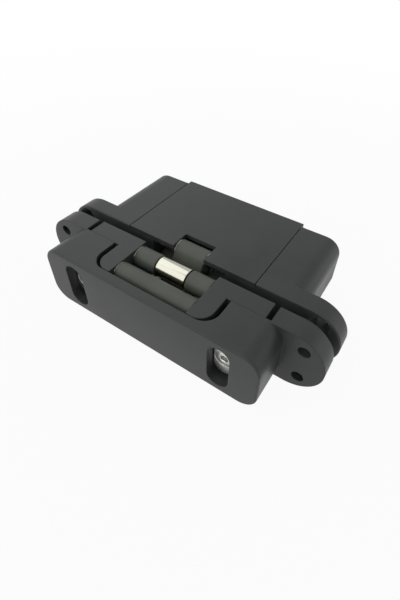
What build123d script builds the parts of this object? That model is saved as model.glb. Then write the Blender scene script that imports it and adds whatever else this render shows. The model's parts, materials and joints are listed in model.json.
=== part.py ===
from build123d import *
import os

# Concealed hydraulic door hinge with crossing arms, shut, in millimetres.
# X runs along the hinge axis, Y through the leaves from the frame leaf to the door leaf, and Z across
# the door's thickness, up being the side to which the door opens. The origin is the middle of the frame
# leaf's mounting face.

# Driving dimensions
HEIGHT = 30.0  # width of both faceplates, along Z
GAP = 4.8  # between the two faceplates when shut
PLATE_HALF = 71.6  # half the length of the frame leaf's faceplate
DOOR_PLATE_HALF = 72.3
PLATE_THICK = 9.2
DOOR_PLATE_THICK = 8.1
HOUSING_HALF = 53.8  # half the length of the bar behind the frame leaf's faceplate
HOUSING_DEPTH = 27.7
HOUSING_CORNER = 8.0
BLOCK_HALF = 54.0  # half the length of the door leaf's block
BLOCK_DEPTH = 46.4
COVER_HALF = 33.5
COVER_DEPTH = 49.0
COVER_THICK = 2.4
COVER_ROUND = 1.0  # of its outer rear edge
COVER_GAP = 0.35  # each side of the cover
NOTCH_HALF = 8.2
NOTCH_DEPTH = 9.8
EDGE = 0.5  # chamfer and half the rounding of the outer edges
BREAK = 0.3  # chamfer of pins, screws and the sleeve
OVERRUN = 2.0  # of a cut beyond the face that it opens

# Screws that hold each leaf in its mortise
SCREW_SPACING_X = 124.0
SCREW_SPACING_Z = 15.8
SCREW_HOLE_R = 2.6
SCREW_SINK_R = 4.8
SCREW_SINK_ANGLE = 90

# Pocket, carrier and the clearances that its adjustment needs
POCKET_HALF = 30.2
POCKET_FRONT = 23.4  # depth of the pocket's far wall behind the mounting face
POCKET_CORNER = 7.0
WING_HALF = 44.9
WING_THICK = 8.3
EAR_OUT = 27.9
EAR_IN = 19.4
EAR_FRONT = 23.1
EAR_CORNER = 6.2
ADJUST = 2.0  # travel each way, along X and along Z
END_CLEAR = 2.4  # beyond each wing
SIT_CLEAR = 0.1
CARRIER_LIFT = 0.2  # of the carrier's underside above the housing's
CARRIER_BREAK = 0.1  # chamfer round the carrier's top face
FLOOR_THICK = 3.2

# Clamp screws
CLAMP_X = 36.8
CLAMP_SLOT_WIDTH = 9.6
CLAMP_SLOT_LENGTH = 22.9
CLAMP_SLOT_DEPTH = 7.0
CLAMP_SHANK_R = 2.9
CLAMP_CLEAR = 0.1  # round the shank and the nut, besides the adjustment
CLAMP_HEAD_R = 3.9
CLAMP_HEX_R = 2.3
CLAMP_HEX_DEPTH = 1.8
SLIDE_WIDTH = 9.2  # of the oblong slide under each screw head
SLIDE_LENGTH = 17.6
SLIDE_FRONT = 4.4  # depth of the slide's face in its slot
HEAD_SINK = 0.2  # of the screw head below the slide's face
NUT_SIDE = 9.0
NUT_THICK = 4.0
NUT_RECESS = 5.4

# Linkage, as (Y, Z) of each axis with the hinge shut
MIDDLE = GAP / 2
NEAR_AXIS = (-4.6, 9.9)  # frame leaf end of the outer arms
CENTRE_AXIS = (MIDDLE, -1.5)
FAR_AXIS = (-15.85, 0.68)  # frame leaf end of the inner arm
LINK_AXIS = (-17.1, 9.9)
BARREL_R = 4.8
CENTRE_R = 4.0
FAR_R = 3.4
PIN_R = 2.3
FAR_PIN_R = 1.8
RUN = 0.05  # radial clearance of a turning fit
FIXED = 0.02  # radial clearance of a pin that is held fast
SIDE_RUN = 0.3  # sideways clearance between arms, taken up by thin washers
WASHER_THICK = 0.2
WASHER_EDGE = 0.15  # of the barrel beyond its washer
INNER_HALF = 7.7  # half the width of the inner arm
ARM_BREAK = 0.25  # chamfer of the arms' and the link's edges
OUTER_OUT = EAR_IN - SIDE_RUN

# Link from the long barrel down to the inner arm's end pin
LINK_NEAR = 9.3  # nearest and furthest reach of the end pin from the long barrel's axis
LINK_FAR = 17.5
LINK_SHIFT = 0.32  # of the slot's line, sideways from the long barrel's axis
LINK_SLOT_CLEAR = 0.4
LINK_WALL = 1.1
LINK_PLATE = 4.0

# Bushes of the inner arm, and the pins
BUSH_R = 3.0
PIN_SHORT = 0.4  # of the near pin inside each ear's outer face
LINK_PIN_SHORT = 3.0
DOOR_PIN_HALF = 26.0

# Hydraulic closer, along Y through the middle of the door leaf
BORE_R = 10.0
CAVITY_END = 26.6
CAVITY_LOW = -12.0
LUG_CLEAR = 0.1  # of the cover's lugs in the door pin's grooves
GLAND_THICK = 3.6
CAP_THICK = 2.6
ROD_R = 3.0
STROKE = 11.3
PISTON_FLOOR = 2.0
PISTON_REAR = 0.6  # clear space behind the piston when the hinge is shut
PISTON_FRONT = 0.2  # clear space left between piston and gland when it is open
PISTON_GROOVE = 2.4  # of the seal groove's middle from the piston's rear
PISTON_WALL = 1.7
SEAL_GROOVE = 0.8  # depth of each seal groove, and section of the rings
SPRING_WIRE_R = 0.7
SPRING_R = 6.6
SPRING_TURNS = 3
SPRING_CLEAR = 0.05  # at each end
SPIGOT_R = 2.0  # thin ends of the piston rod
BALL_R = 1.0
BALL_X = 5.2
BALL_SEAT = 1.4  # depth of each ball's pocket
BALL_PORT_R = 0.7
CROSS_HALF_Y = 4.0
CROSS_LOW = -6.0
CROSS_TOP = 4.0
CROSS_CORNER = 1.2
CROSS_CLEAR = 0.2  # round the pin in its slot
CROSS_DIP = 3.3  # fall of the crosshead pin on its way forward
SPIGOT_LENGTH = 1.9  # of the rod in the crosshead

# Speed screws in the door leaf's faceplate
VALVE_X = 29.0
VALVE_R = 3.0
VALVE_HEAD_R = 4.0
VALVE_HEAD = 3.0
VALVE_DEPTH = 15.0
VALVE_SINK = 0.3  # of the head below the mounting face
VALVE_TIP = 1.2  # clear space in front of the needle
VALVE_GROOVE = 0.7
VALVE_SLOT = 1.2
PASSAGE_R = 0.9

# Screws that hold the cover
COVER_SCREW_X = 54.0
COVER_SCREW_Z = 18.0
COVER_SCREW_R = 1.5
COVER_SCREW_SINK_R = 2.8
COVER_SCREW_DEPTH = 9.0  # of the tapped holes in the block
COVER_SCREW_SHORT = 1.0  # of the screws' tips before the holes' ends
COVER_SCREW_CLEAR = 0.1
COVER_HEAD_INSET = 0.2  # of the head's rim inside its countersink

# Worked out from the driving dimensions
TOP = HEIGHT / 2
DOOR_FACE = GAP
BLOCK_END = DOOR_FACE + BLOCK_DEPTH
COVER_END = DOOR_FACE + COVER_DEPTH
COVER_LOW = TOP - COVER_THICK
BORE_START = CAVITY_END
GLAND_END = BORE_START + GLAND_THICK
CAP_START = BLOCK_END - CAP_THICK
PISTON_END = CAP_START - PISTON_REAR
PISTON_START = GLAND_END + STROKE + PISTON_FRONT
CAVITY_HALF = EAR_IN
GROOVE_Y = DOOR_FACE + VALVE_SINK + VALVE_HEAD + 2 * VALVE_GROOVE


def mirrored(axis):
    """The same axis on the other leaf."""
    return (2 * MIDDLE - axis[0], axis[1])


DOOR_AXIS = mirrored(NEAR_AXIS)
CROSS_AXIS = mirrored(FAR_AXIS)


def across(y):
    """Plane across the depth at y, with X and Z as its sketch axes; extrude a negative amount towards +Y."""
    return Plane.XZ.offset(-y)


def facing_rear(y):
    """Plane at y that looks towards +Y."""
    return Plane(origin=(0, y, 0), x_dir=(1, 0, 0), z_dir=(0, 1, 0))


def finish(piece, label):
    """Name a finished piece and write it."""
    piece.part.label = label
    export_step(piece.part, "parts/" + label + ".step")


def cylinder_on(name, axis, radius, half):
    """Plain pin along X, half its length each way from the hinge's middle."""
    with BuildPart() as pin:
        with BuildSketch(Plane.YZ.offset(-half)):
            with Locations(axis):
                Circle(radius - FIXED)
        extrude(amount=2 * half)
        chamfer(pin.edges().filter_by(GeomType.CIRCLE), length=BREAK)
    finish(pin, name)


# Frame leaf


def frame_housing():
    """Bar with round-ended screw plates, and the T-shaped pocket that the carrier slides in."""
    travel = 2 * (ADJUST + CLAMP_CLEAR)
    with BuildPart() as housing:
        with BuildSketch(across(-PLATE_THICK)):
            SlotOverall(2 * PLATE_HALF, HEIGHT)
        extrude(amount=-PLATE_THICK)
        with BuildSketch(across(-HOUSING_DEPTH)):
            RectangleRounded(2 * HOUSING_HALF, HEIGHT, HOUSING_CORNER)
        extrude(amount=-(HOUSING_DEPTH - PLATE_THICK))
        fillet(housing.faces().sort_by(Axis.Y)[0].edges(), radius=2 * EDGE)
        chamfer(housing.faces().sort_by(Axis.Y)[-1].edges(), length=EDGE)
        with BuildSketch(Plane.XY.offset(-TOP)) as pocket:
            with Locations((0, -WING_THICK - SIT_CLEAR)):
                Rectangle(
                    2 * (WING_HALF + END_CLEAR), WING_THICK + OVERRUN, align=(Align.CENTER, Align.MIN)
                )
                Rectangle(
                    2 * POCKET_HALF, POCKET_FRONT - WING_THICK - SIT_CLEAR, align=(Align.CENTER, Align.MAX)
                )
            fillet(pocket.vertices().group_by(Axis.Y)[0], radius=POCKET_CORNER)
        extrude(amount=HEIGHT, mode=Mode.SUBTRACT)
        for x in (-CLAMP_X, CLAMP_X):
            with BuildSketch(across(-HOUSING_DEPTH)):
                with Locations((x, 0)):
                    SlotOverall(CLAMP_SLOT_LENGTH, CLAMP_SLOT_WIDTH, rotation=90)
            extrude(amount=-CLAMP_SLOT_DEPTH, mode=Mode.SUBTRACT)
            with BuildSketch(across(-HOUSING_DEPTH)):
                with Locations((x, 0)):
                    SlotCenterToCenter(travel, 2 * (CLAMP_SHANK_R + CLAMP_CLEAR), rotation=90)
            extrude(amount=-HOUSING_DEPTH, mode=Mode.SUBTRACT)
        with Locations(facing_rear(0)):
            with GridLocations(SCREW_SPACING_X, SCREW_SPACING_Z, 2, 2):
                CounterSinkHole(SCREW_HOLE_R, SCREW_SINK_R, HOUSING_DEPTH, SCREW_SINK_ANGLE)
    finish(housing, "frame_housing")


def carrier():
    """T-shaped carrier: wings along the gap, two ears for the pins and a floor that joins the ears."""
    travel = 2 * (ADJUST + CLAMP_CLEAR)
    underside = -TOP + CARRIER_LIFT
    with BuildPart() as block:
        with BuildSketch(Plane.XY.offset(underside)) as plan:
            Rectangle(2 * WING_HALF, WING_THICK, align=(Align.CENTER, Align.MAX))
            Rectangle(2 * EAR_OUT, EAR_FRONT, align=(Align.CENTER, Align.MAX))
            fillet(plan.vertices().group_by(Axis.Y)[0], radius=EAR_CORNER)
        extrude(amount=HEIGHT - CARRIER_LIFT)
        chamfer(block.faces().sort_by(Axis.Z)[-1].edges(), length=CARRIER_BREAK)
        with BuildSketch(Plane.YZ.offset(-EAR_IN)):
            with Locations((-EAR_FRONT / 2, underside + FLOOR_THICK)):
                Rectangle(2 * EAR_FRONT, HEIGHT, align=(Align.CENTER, Align.MIN))
        extrude(amount=2 * EAR_IN, mode=Mode.SUBTRACT)
        with BuildSketch(Plane.YZ.offset(-EAR_OUT)):
            with Locations(NEAR_AXIS, LINK_AXIS):
                Circle(PIN_R)
        extrude(amount=2 * EAR_OUT, mode=Mode.SUBTRACT)
        for x in (-CLAMP_X, CLAMP_X):
            with BuildSketch(across(-WING_THICK)):
                with Locations((x, 0)):
                    SlotCenterToCenter(travel, 2 * (CLAMP_SHANK_R + CLAMP_CLEAR))
            extrude(amount=-WING_THICK, mode=Mode.SUBTRACT)
            with BuildSketch(across(-NUT_RECESS)):
                with Locations((x, 0)):
                    Rectangle(NUT_SIDE + travel, NUT_SIDE + 2 * CLAMP_CLEAR)
            extrude(amount=-NUT_RECESS, mode=Mode.SUBTRACT)
    finish(block, "carrier")


def clamp_slides():
    """Two oblong slides on the floor of the upright slots, each with a round seat for its screw's head."""
    face = -HOUSING_DEPTH + SLIDE_FRONT
    floor = -HOUSING_DEPTH + CLAMP_SLOT_DEPTH
    with BuildPart() as slides:
        with BuildSketch(across(face)):
            with Locations((-CLAMP_X, 0), (CLAMP_X, 0)):
                SlotOverall(SLIDE_LENGTH, SLIDE_WIDTH, rotation=90)
        extrude(amount=face - floor)
        chamfer(slides.faces().group_by(Axis.Y)[0].edges(), length=BREAK)
        with BuildSketch(across(face)):
            with Locations((-CLAMP_X, 0), (CLAMP_X, 0)):
                Circle(CLAMP_HEAD_R + RUN)
        extrude(amount=-(floor - face) / 2 - HEAD_SINK, mode=Mode.SUBTRACT)
        with BuildSketch(across(face)):
            with Locations((-CLAMP_X, 0), (CLAMP_X, 0)):
                Circle(CLAMP_SHANK_R + RUN)
        extrude(amount=face - floor, mode=Mode.SUBTRACT)
    finish(slides, "clamp_slides")


def clamp_screws():
    """Two socket screws, their heads let into the slides."""
    front = -HOUSING_DEPTH + SLIDE_FRONT + HEAD_SINK
    head = (CLAMP_SLOT_DEPTH - SLIDE_FRONT) / 2
    with BuildPart() as screws:
        with BuildSketch(across(front)):
            with Locations((-CLAMP_X, 0), (CLAMP_X, 0)):
                Circle(CLAMP_HEAD_R)
        extrude(amount=-head)
        chamfer(screws.faces().group_by(Axis.Y)[0].edges(), length=CARRIER_BREAK)
        with BuildSketch(across(front + head)):
            with Locations((-CLAMP_X, 0), (CLAMP_X, 0)):
                Circle(CLAMP_SHANK_R)
        extrude(amount=front + head + NUT_RECESS - NUT_THICK)
        with BuildSketch(across(front)):
            with Locations((-CLAMP_X, 0), (CLAMP_X, 0)):
                RegularPolygon(CLAMP_HEX_R, 6)
        extrude(amount=-CLAMP_HEX_DEPTH, mode=Mode.SUBTRACT)
    finish(screws, "clamp_screws")


def clamp_nuts():
    """Two square nuts, each in the long recess of a wing."""
    with BuildPart() as nuts:
        with BuildSketch(across(-NUT_RECESS)):
            with Locations((-CLAMP_X, 0), (CLAMP_X, 0)):
                Rectangle(NUT_SIDE, NUT_SIDE)
                Circle(CLAMP_SHANK_R, mode=Mode.SUBTRACT)
        extrude(amount=-NUT_THICK)
    finish(nuts, "clamp_nuts")


def spacer_sleeve():
    """Bright sleeve on the near pin, between the two knuckles."""
    with BuildPart() as sleeve:
        with BuildSketch(Plane.YZ.offset(-INNER_HALF + SIDE_RUN)):
            with Locations(NEAR_AXIS):
                Circle(BARREL_R)
                Circle(PIN_R + RUN, mode=Mode.SUBTRACT)
        extrude(amount=2 * (INNER_HALF - SIDE_RUN))
        chamfer(sleeve.edges().filter_by(GeomType.CIRCLE), length=BREAK)
    finish(sleeve, "spacer_sleeve")


def washers(label, axes, starts):
    """Thin washers round the pins at the given axes, one at each X start."""
    with BuildPart() as rings:
        for start in starts:
            with BuildSketch(Plane.YZ.offset(start)):
                for axis, radius in axes:
                    with Locations(axis):
                        Circle(radius - WASHER_EDGE)
                        Circle(PIN_R + RUN, mode=Mode.SUBTRACT)
            extrude(amount=WASHER_THICK)
    finish(rings, label)


def all_washers():
    """Washers at the ears, at the crossing of the arms and at the door pin."""
    slack = (SIDE_RUN - WASHER_THICK) / 2
    ear_starts = (-EAR_IN + slack, OUTER_OUT + slack)
    inner_starts = (-INNER_HALF - SIDE_RUN + slack, INNER_HALF + slack)
    washers("ear_washers", ((NEAR_AXIS, BARREL_R), (LINK_AXIS, BARREL_R)), ear_starts)
    washers("centre_washers", ((CENTRE_AXIS, CENTRE_R),), inner_starts)
    washers("door_washers", ((DOOR_AXIS, BARREL_R),), inner_starts)


# Arms and link


def arm(label, start, width, axes, radii, bores):
    """Bent arm along X = start to start + width: a knuckle at each axis, tapered bars between them."""
    with BuildPart() as plate:
        for first, second, first_r, second_r in zip(axes, axes[1:], radii, radii[1:]):
            with BuildSketch(Plane.YZ.offset(start)):
                with Locations(first):
                    Circle(first_r)
                with Locations(second):
                    Circle(second_r)
                make_hull()
            extrude(amount=width)
        chamfer(plate.faces().filter_by(Axis.X).edges(), length=ARM_BREAK)
        for axis, bore in zip(axes, bores):
            with BuildSketch(Plane.YZ.offset(start)):
                with Locations(axis):
                    Circle(bore)
            extrude(amount=width, mode=Mode.SUBTRACT)
    finish(plate, label)


def outer_arms():
    """The fork: an arm each side of the inner arm, turning on the near pin."""
    width = OUTER_OUT - INNER_HALF - SIDE_RUN
    axes = (NEAR_AXIS, CENTRE_AXIS, CROSS_AXIS)
    radii = (BARREL_R, CENTRE_R, FAR_R)
    bores = (PIN_R + RUN, PIN_R, FAR_PIN_R)
    arm("outer_arm_left", -OUTER_OUT, width, axes, radii, bores)
    arm("outer_arm_right", OUTER_OUT - width, width, axes, radii, bores)


def inner_arm():
    """The single arm that crosses between the fork's arms, turning on the door pin."""
    axes = (DOOR_AXIS, CENTRE_AXIS, FAR_AXIS)
    radii = (BARREL_R, CENTRE_R, FAR_R)
    bores = (BUSH_R, BUSH_R, FAR_PIN_R)
    arm("inner_arm", -INNER_HALF, 2 * INNER_HALF, axes, radii, bores)


def arm_bushes():
    """Two bushes pressed into the inner arm, for the door pin and the centre pin."""
    with BuildPart() as bushes:
        with BuildSketch(Plane.YZ.offset(-INNER_HALF)):
            with Locations(DOOR_AXIS, CENTRE_AXIS):
                Circle(BUSH_R)
                Circle(PIN_R + RUN, mode=Mode.SUBTRACT)
        extrude(amount=2 * INNER_HALF)
    finish(bushes, "arm_bushes")


def link():
    """Long barrel between the ears with two slotted plates that hold the inner arm's end pin."""
    slot_r = FAR_PIN_R + LINK_SLOT_CLEAR
    tip_r = slot_r + LINK_WALL
    plate_in = INNER_HALF + SIDE_RUN
    direction = (0, FAR_AXIS[0] - LINK_AXIS[0], FAR_AXIS[1] - LINK_AXIS[1])
    with BuildPart() as piece:
        with BuildSketch(Plane.YZ.offset(-OUTER_OUT)):
            with Locations(LINK_AXIS):
                Circle(BARREL_R)
        extrude(amount=2 * OUTER_OUT)
        chamfer(piece.edges().filter_by(GeomType.CIRCLE), length=ARM_BREAK)
        for start in (-plate_in - LINK_PLATE, plate_in):
            plane = Plane(origin=(start, *LINK_AXIS), x_dir=direction, z_dir=(1, 0, 0))
            with BuildSketch(plane):
                with Locations((LINK_FAR / 2, LINK_SHIFT)):
                    SlotCenterToCenter(LINK_FAR, 2 * tip_r)
                with Locations(((LINK_NEAR + LINK_FAR) / 2, LINK_SHIFT)):
                    SlotCenterToCenter(LINK_FAR - LINK_NEAR, 2 * slot_r, mode=Mode.SUBTRACT)
            extrude(amount=LINK_PLATE)
        with BuildSketch(Plane.YZ.offset(-OUTER_OUT)):
            with Locations(LINK_AXIS):
                Circle(PIN_R + RUN)
        extrude(amount=2 * OUTER_OUT, mode=Mode.SUBTRACT)
    finish(piece, "link")


def pins():
    """Hinge pins, each along X and centred on the hinge's middle."""
    link_pin_half = INNER_HALF + SIDE_RUN + LINK_PLATE
    cylinder_on("near_pin", NEAR_AXIS, PIN_R, EAR_OUT - PIN_SHORT)
    cylinder_on("link_pivot_pin", LINK_AXIS, PIN_R, EAR_OUT - LINK_PIN_SHORT)
    cylinder_on("centre_pin", CENTRE_AXIS, PIN_R, OUTER_OUT)
    cylinder_on("door_pin", DOOR_AXIS, PIN_R, DOOR_PIN_HALF)
    cylinder_on("link_end_pin", FAR_AXIS, FAR_PIN_R, link_pin_half)
    cylinder_on("crosshead_pin", CROSS_AXIS, FAR_PIN_R, OUTER_OUT)


# Door leaf


def door_body():
    """Round-ended faceplate and block, with the arms' cavity, the closer's bore and the cover's seat."""
    with BuildPart() as body:
        with BuildSketch(across(DOOR_FACE)):
            SlotOverall(2 * DOOR_PLATE_HALF, HEIGHT)
        extrude(amount=-DOOR_PLATE_THICK)
        with BuildSketch(across(DOOR_FACE + DOOR_PLATE_THICK)):
            RectangleRounded(2 * BLOCK_HALF, HEIGHT, HOUSING_CORNER)
        extrude(amount=-(BLOCK_DEPTH - DOOR_PLATE_THICK))
        fillet(body.faces().sort_by(Axis.Y)[-1].edges(), radius=2 * EDGE)
        chamfer(body.faces().sort_by(Axis.Y)[0].edges(), length=EDGE)
        with BuildSketch(across(DOOR_FACE)):
            with Locations((0, COVER_LOW)):
                Rectangle(2 * COVER_HALF, HEIGHT, align=(Align.CENTER, Align.MIN))
        extrude(amount=-COVER_DEPTH, mode=Mode.SUBTRACT)
        with BuildSketch(across(DOOR_FACE)):
            with Locations((0, CAVITY_LOW)):
                Rectangle(2 * CAVITY_HALF, HEIGHT, align=(Align.CENTER, Align.MIN))
        extrude(amount=-(CAVITY_END - DOOR_FACE), mode=Mode.SUBTRACT)
        with BuildSketch(Plane.YZ.offset(-DOOR_PIN_HALF)):
            with Locations(DOOR_AXIS):
                Circle(PIN_R)
                Rectangle(2 * PIN_R, HEIGHT, align=(Align.CENTER, Align.MIN))
        extrude(amount=2 * DOOR_PIN_HALF, mode=Mode.SUBTRACT)
        with BuildSketch(facing_rear(BORE_START)):
            Circle(BORE_R)
        extrude(amount=BLOCK_DEPTH, mode=Mode.SUBTRACT)
        for side, port in ((-1, CAP_START - 2 * PASSAGE_R), (1, GLAND_END + 2 * PASSAGE_R)):
            with BuildSketch(facing_rear(DOOR_FACE)):
                with Locations((side * VALVE_X, 0)):
                    Circle(PASSAGE_R)
            extrude(amount=port - DOOR_FACE, mode=Mode.SUBTRACT)
            with BuildSketch(Plane.YZ.offset(side * (VALVE_X + PASSAGE_R))):
                with Locations((port, 0)):
                    Circle(PASSAGE_R)
            extrude(amount=-side * VALVE_X, mode=Mode.SUBTRACT)
        for x in (-VALVE_X, VALVE_X):
            with BuildSketch(facing_rear(DOOR_FACE)):
                with Locations((x, 0)):
                    Circle(VALVE_HEAD_R)
            extrude(amount=VALVE_SINK + VALVE_HEAD, mode=Mode.SUBTRACT)
            with BuildSketch(facing_rear(DOOR_FACE)):
                with Locations((x, 0)):
                    Circle(VALVE_R)
            extrude(amount=VALVE_DEPTH, mode=Mode.SUBTRACT)
        with Locations(across(DOOR_FACE)):
            with GridLocations(SCREW_SPACING_X, SCREW_SPACING_Z, 2, 2):
                CounterSinkHole(SCREW_HOLE_R, SCREW_SINK_R, DOOR_PLATE_THICK, SCREW_SINK_ANGLE)
        with Locations(facing_rear(BLOCK_END)):
            with GridLocations(COVER_SCREW_X, COVER_SCREW_Z, 2, 2):
                Hole(COVER_SCREW_R, COVER_SCREW_DEPTH)
    finish(body, "door_body")


def door_cover():
    """Bent cover: a top plate with the inner arm's notch, and a rear wall over the closer's cap."""
    with BuildPart() as cover:
        with BuildSketch(Plane.YZ.offset(-COVER_HALF + COVER_GAP)) as profile:
            with BuildLine():
                Polyline(
                    (DOOR_FACE, COVER_LOW),
                    (BLOCK_END, COVER_LOW),
                    (BLOCK_END, -TOP),
                    (COVER_END, -TOP),
                    (COVER_END, TOP),
                    (DOOR_FACE, TOP),
                    close=True,
                )
            make_face()
            outer = profile.vertices().group_by(Axis.X)[-1].sort_by(Axis.Y)[-1]
            fillet(outer, radius=COVER_ROUND)
        extrude(amount=2 * (COVER_HALF - COVER_GAP))
        lug_half = (DOOR_PIN_HALF - CAVITY_HALF) / 2
        with BuildSketch(Plane.XY.offset(COVER_LOW)):
            for side in (-1, 1):
                with Locations((side * (CAVITY_HALF + lug_half), DOOR_AXIS[0])):
                    Rectangle(2 * (lug_half - LUG_CLEAR), 2 * (PIN_R - LUG_CLEAR))
        extrude(amount=-(COVER_LOW - DOOR_AXIS[1] - PIN_R), mode=Mode.ADD)
        with BuildSketch(Plane.XY.offset(COVER_LOW)):
            with Locations((0, DOOR_FACE)):
                Rectangle(2 * NOTCH_HALF, 2 * NOTCH_DEPTH)
        extrude(amount=COVER_THICK, mode=Mode.SUBTRACT)
        with Locations(facing_rear(COVER_END)):
            with GridLocations(COVER_SCREW_X, COVER_SCREW_Z, 2, 2):
                CounterSinkHole(
                    COVER_SCREW_R + COVER_SCREW_CLEAR,
                    COVER_SCREW_SINK_R,
                    COVER_DEPTH - BLOCK_DEPTH + OVERRUN,
                    SCREW_SINK_ANGLE,
                )
    finish(cover, "door_cover")


def cover_screws():
    """Four countersunk screws through the cover's rear wall."""
    with BuildPart() as screws:
        with BuildSketch(facing_rear(COVER_END - SIT_CLEAR)):
            with GridLocations(COVER_SCREW_X, COVER_SCREW_Z, 2, 2):
                Circle(COVER_SCREW_R)
        extrude(amount=-(COVER_SCREW_DEPTH + COVER_DEPTH - BLOCK_DEPTH - COVER_SCREW_SHORT))
        with BuildSketch(facing_rear(COVER_END - SIT_CLEAR)):
            with GridLocations(COVER_SCREW_X, COVER_SCREW_Z, 2, 2):
                Circle(COVER_SCREW_SINK_R - COVER_HEAD_INSET)
        extrude(amount=-(COVER_SCREW_SINK_R - COVER_SCREW_R - COVER_HEAD_INSET), taper=SCREW_SINK_ANGLE / 2)
    finish(screws, "cover_screws")


# Hydraulic closer


def crosshead():
    """Block between the outer arms, with an upright slot for their pin and a threaded eye for the rod."""
    centre = CROSS_AXIS[0]
    slot_width = 2 * (FAR_PIN_R + CROSS_CLEAR)
    with BuildPart() as block:
        with BuildSketch(Plane.YZ.offset(-INNER_HALF + SIDE_RUN)):
            with Locations((centre, (CROSS_TOP + CROSS_LOW) / 2)):
                RectangleRounded(2 * CROSS_HALF_Y, CROSS_TOP - CROSS_LOW, CROSS_CORNER)
            with Locations((centre, CROSS_AXIS[1] - CROSS_DIP / 2)):
                SlotOverall(slot_width + CROSS_DIP, slot_width, rotation=90, mode=Mode.SUBTRACT)
        extrude(amount=2 * (INNER_HALF - SIDE_RUN))
        with BuildSketch(facing_rear(centre + CROSS_HALF_Y - SPIGOT_LENGTH)):
            Circle(SPIGOT_R)
        extrude(amount=SPIGOT_LENGTH, mode=Mode.SUBTRACT)
    finish(block, "crosshead")


def piston_rod():
    """Rod from the crosshead through the gland to the piston, with a thin spigot at each end."""
    start = CROSS_AXIS[0] + CROSS_HALF_Y
    with BuildPart() as rod:
        with BuildSketch(facing_rear(start)):
            Circle(ROD_R)
        extrude(amount=PISTON_END - PISTON_FLOOR - start)
        with BuildSketch(facing_rear(start - SPIGOT_LENGTH)):
            Circle(SPIGOT_R - FIXED)
        extrude(amount=PISTON_END - start + SPIGOT_LENGTH)
    finish(rod, "piston_rod")


def piston():
    """Cup-shaped piston: a skirt with a seal groove, and a floor that the spring pushes on."""
    outer = BORE_R - RUN
    groove_y = PISTON_END - PISTON_GROOVE
    with BuildPart() as cup:
        with BuildSketch(Plane.XY):
            with BuildLine():
                Polyline(
                    (SPIGOT_R, PISTON_END - PISTON_FLOOR),
                    (SPIGOT_R, PISTON_END),
                    (outer, PISTON_END),
                    (outer, groove_y + SEAL_GROOVE / 2),
                    (outer - SEAL_GROOVE, groove_y + SEAL_GROOVE / 2),
                    (outer - SEAL_GROOVE, groove_y - SEAL_GROOVE / 2),
                    (outer, groove_y - SEAL_GROOVE / 2),
                    (outer, PISTON_START),
                    (outer - PISTON_WALL, PISTON_START),
                    (outer - PISTON_WALL, PISTON_END - PISTON_FLOOR),
                    close=True,
                )
            make_face()
        revolve(axis=Axis.Y)
        with BuildSketch(facing_rear(PISTON_END - PISTON_FLOOR)):
            with Locations((-BALL_X, 0), (BALL_X, 0)):
                Circle(BALL_PORT_R)
        extrude(amount=PISTON_FLOOR, mode=Mode.SUBTRACT)
        with BuildSketch(facing_rear(PISTON_END - BALL_SEAT)):
            with Locations((-BALL_X, 0), (BALL_X, 0)):
                Circle(BALL_R + 2 * RUN)
        extrude(amount=BALL_SEAT, mode=Mode.SUBTRACT)
    finish(cup, "piston")


def check_balls():
    """Two balls that shut the piston's ports when the door closes."""
    centre_y = PISTON_END - BALL_SEAT + (BALL_R**2 - BALL_PORT_R**2) ** 0.5
    with BuildPart() as balls:
        with Locations((-BALL_X, centre_y, 0), (BALL_X, centre_y, 0)):
            Sphere(BALL_R - FIXED)
    finish(balls, "check_balls")


def ring_on_bore(name, y, radius):
    """Seal ring of round section round the closer's axis."""
    with BuildPart() as ring:
        with BuildSketch(Plane.XY):
            with Locations((radius, y)):
                Circle(SEAL_GROOVE / 2 - FIXED)
        revolve(axis=Axis.Y)
    finish(ring, name)


def seals():
    """Rings in the grooves of the piston, the gland and the cap."""
    in_bore = BORE_R - RUN - SEAL_GROOVE / 2
    ring_on_bore("piston_seal", PISTON_END - PISTON_GROOVE, in_bore)
    ring_on_bore("rod_seal", GLAND_END - GLAND_THICK / 2, ROD_R + RUN + SEAL_GROOVE / 2)
    ring_on_bore("cap_seal", CAP_START + CAP_THICK / 2, in_bore)


def speed_screw_seals():
    """Ring of round section in the groove of each speed screw."""
    section_r = VALVE_GROOVE / 2
    with BuildPart() as rings:
        for x in (-VALVE_X, VALVE_X):
            with BuildSketch(Plane.XY):
                with Locations((x + VALVE_R - RUN - section_r, GROOVE_Y)):
                    Circle(section_r - FIXED)
            revolve(axis=Axis((x, 0, 0), (0, 1, 0)))
    finish(rings, "speed_screw_seals")


def closing_spring():
    """Round-wire spring between the gland and the piston's floor."""
    low = GLAND_END + SPRING_WIRE_R + SPRING_CLEAR
    high = PISTON_END - PISTON_FLOOR - SPRING_WIRE_R - SPRING_CLEAR
    with BuildPart() as spring:
        with BuildLine() as coil:
            Helix((high - low) / SPRING_TURNS, high - low, SPRING_R, center=(0, low, 0), direction=(0, 1, 0))
        with BuildSketch(coil.line ^ 0):
            Circle(SPRING_WIRE_R)
        sweep(is_frenet=True)
    finish(spring, "closing_spring")


def gland():
    """Threaded wall between the arms' cavity and the cylinder, with the rod's bore and seal groove."""
    middle = GLAND_END - GLAND_THICK / 2
    with BuildPart() as wall:
        with BuildSketch(Plane.XY):
            with BuildLine():
                Polyline(
                    (ROD_R + RUN, BORE_START),
                    (BORE_R, BORE_START),
                    (BORE_R, GLAND_END),
                    (ROD_R + RUN, GLAND_END),
                    (ROD_R + RUN, middle + SEAL_GROOVE / 2),
                    (ROD_R + RUN + SEAL_GROOVE, middle + SEAL_GROOVE / 2),
                    (ROD_R + RUN + SEAL_GROOVE, middle - SEAL_GROOVE / 2),
                    (ROD_R + RUN, middle - SEAL_GROOVE / 2),
                    close=True,
                )
            make_face()
        revolve(axis=Axis.Y)
    finish(wall, "gland")


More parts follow.
